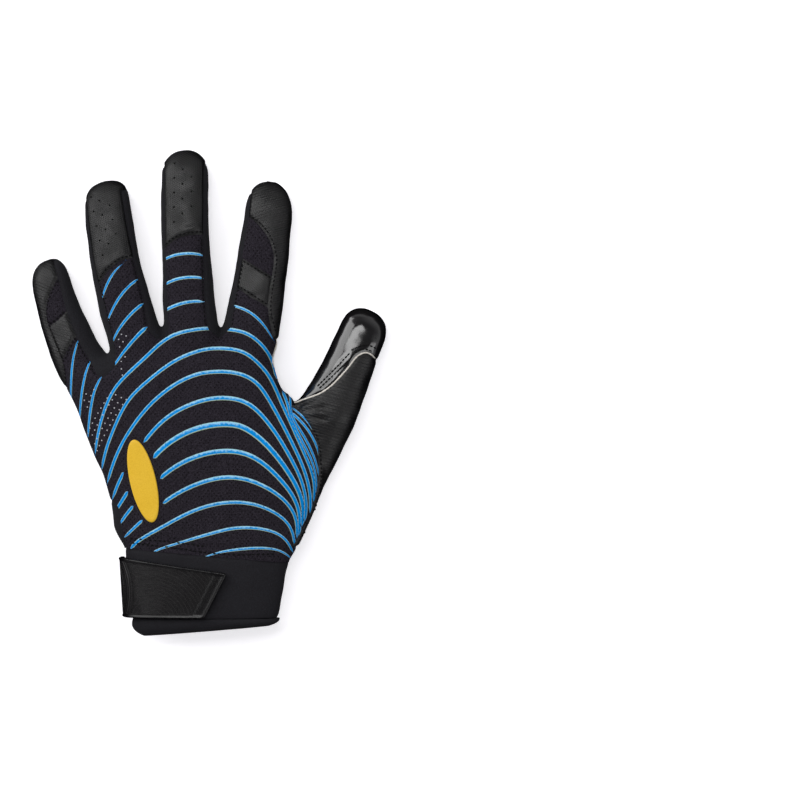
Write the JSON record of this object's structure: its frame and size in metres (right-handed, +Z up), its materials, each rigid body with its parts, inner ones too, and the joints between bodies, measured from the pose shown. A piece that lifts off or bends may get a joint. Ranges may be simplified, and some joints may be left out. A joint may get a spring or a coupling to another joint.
{
  "type": "football receiver glove",
  "caption": "Left-hand receiver glove lying palm down: striped knit back, leather finger tips, grip palm, elastic cuff and a strap with a moulded tab.",
  "frame": {"origin": "on the floor under the middle of the glove's box", "axes": "+Y along the glove from the cuff to the middle finger's tip, +X to the thumb's side, +Z up out of the back of the hand"},
  "size_m": [0.177, 0.2436, 0.0294],
  "materials": {
    "knit": "matte stretch knit with blue stripes",
    "grip": "glossy sticky silicone grip",
    "leather": "satin synthetic leather, embossed",
    "lycra": "plain matte stretch cloth",
    "cuff": "smooth matte neoprene",
    "strap": "matte elastic webbing",
    "moulded": "satin moulded rubber",
    "badge": "plain gold heat-pressed film"
  },
  "bodies": {
    "root": {"back_panel": "knit", "palm_panel": "grip", "thumb_leather": "leather", "thumb_grip": "grip", "middle_tip_panel": "leather", "ring_tip_panel": "leather", "index_tip_panel": "leather", "index_knuckle_patch": "leather", "index_knit_window": "knit", "little_knit_window": "knit", "little_tip_panel": "leather", "little_knuckle_patch": "leather", "fourchette_little_ring": "lycra", "fourchette_ring_middle": "lycra", "fourchette_middle_index": "lycra", "wrist_gusset": "lycra", "cuff_band": "cuff", "cuff_hem": "cuff", "strap_band": "strap", "strap_tab": "moulded", "back_badge": "badge"}
  },
  "joints": []
}
